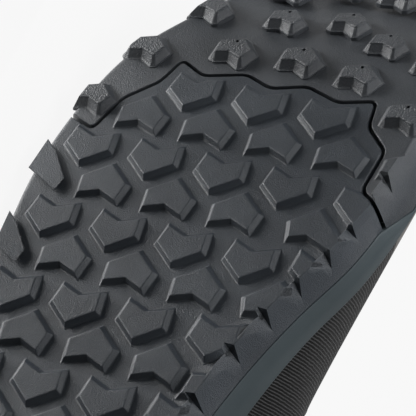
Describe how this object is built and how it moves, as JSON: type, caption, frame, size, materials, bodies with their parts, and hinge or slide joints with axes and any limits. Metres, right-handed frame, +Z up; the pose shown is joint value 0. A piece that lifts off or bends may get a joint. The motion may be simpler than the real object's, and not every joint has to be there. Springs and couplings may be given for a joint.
{
  "type": "mountain bike shoe",
  "caption": "Low right shoe for flat-pedal mountain biking: hollow textile upper, foam midsole and a rubber outsole with chevron lugs and a separate lugged toe bumper.",
  "frame": {"origin": "middle of the floor rectangle under the shoe as it lies on its lateral side", "axes": "toe towards -X, sole towards -Y, collar towards +Y, medial side up along +Z"},
  "size_m": [0.3086, 0.1112, 0.1088],
  "materials": {
    "main_rubber": "matte moulded rubber, dark neutral grey",
    "toe_rubber": "matte moulded rubber, finely grained dark grey",
    "midsole_foam": "smooth moulded foam, blue grey",
    "insole_foam": "felt-topped foam, dark grey",
    "upper_textile": "fine-ribbed woven textile, black",
    "tongue_textile": "padded knitted textile, black",
    "lace_cord": "round braided cord, black"
  },
  "bodies": {
    "root": {"outsole_main": "main_rubber", "outsole_toe": "toe_rubber", "midsole": "midsole_foam", "insole": "insole_foam", "upper": "upper_textile", "tongue": "tongue_textile", "laces": "lace_cord"}
  },
  "joints": []
}
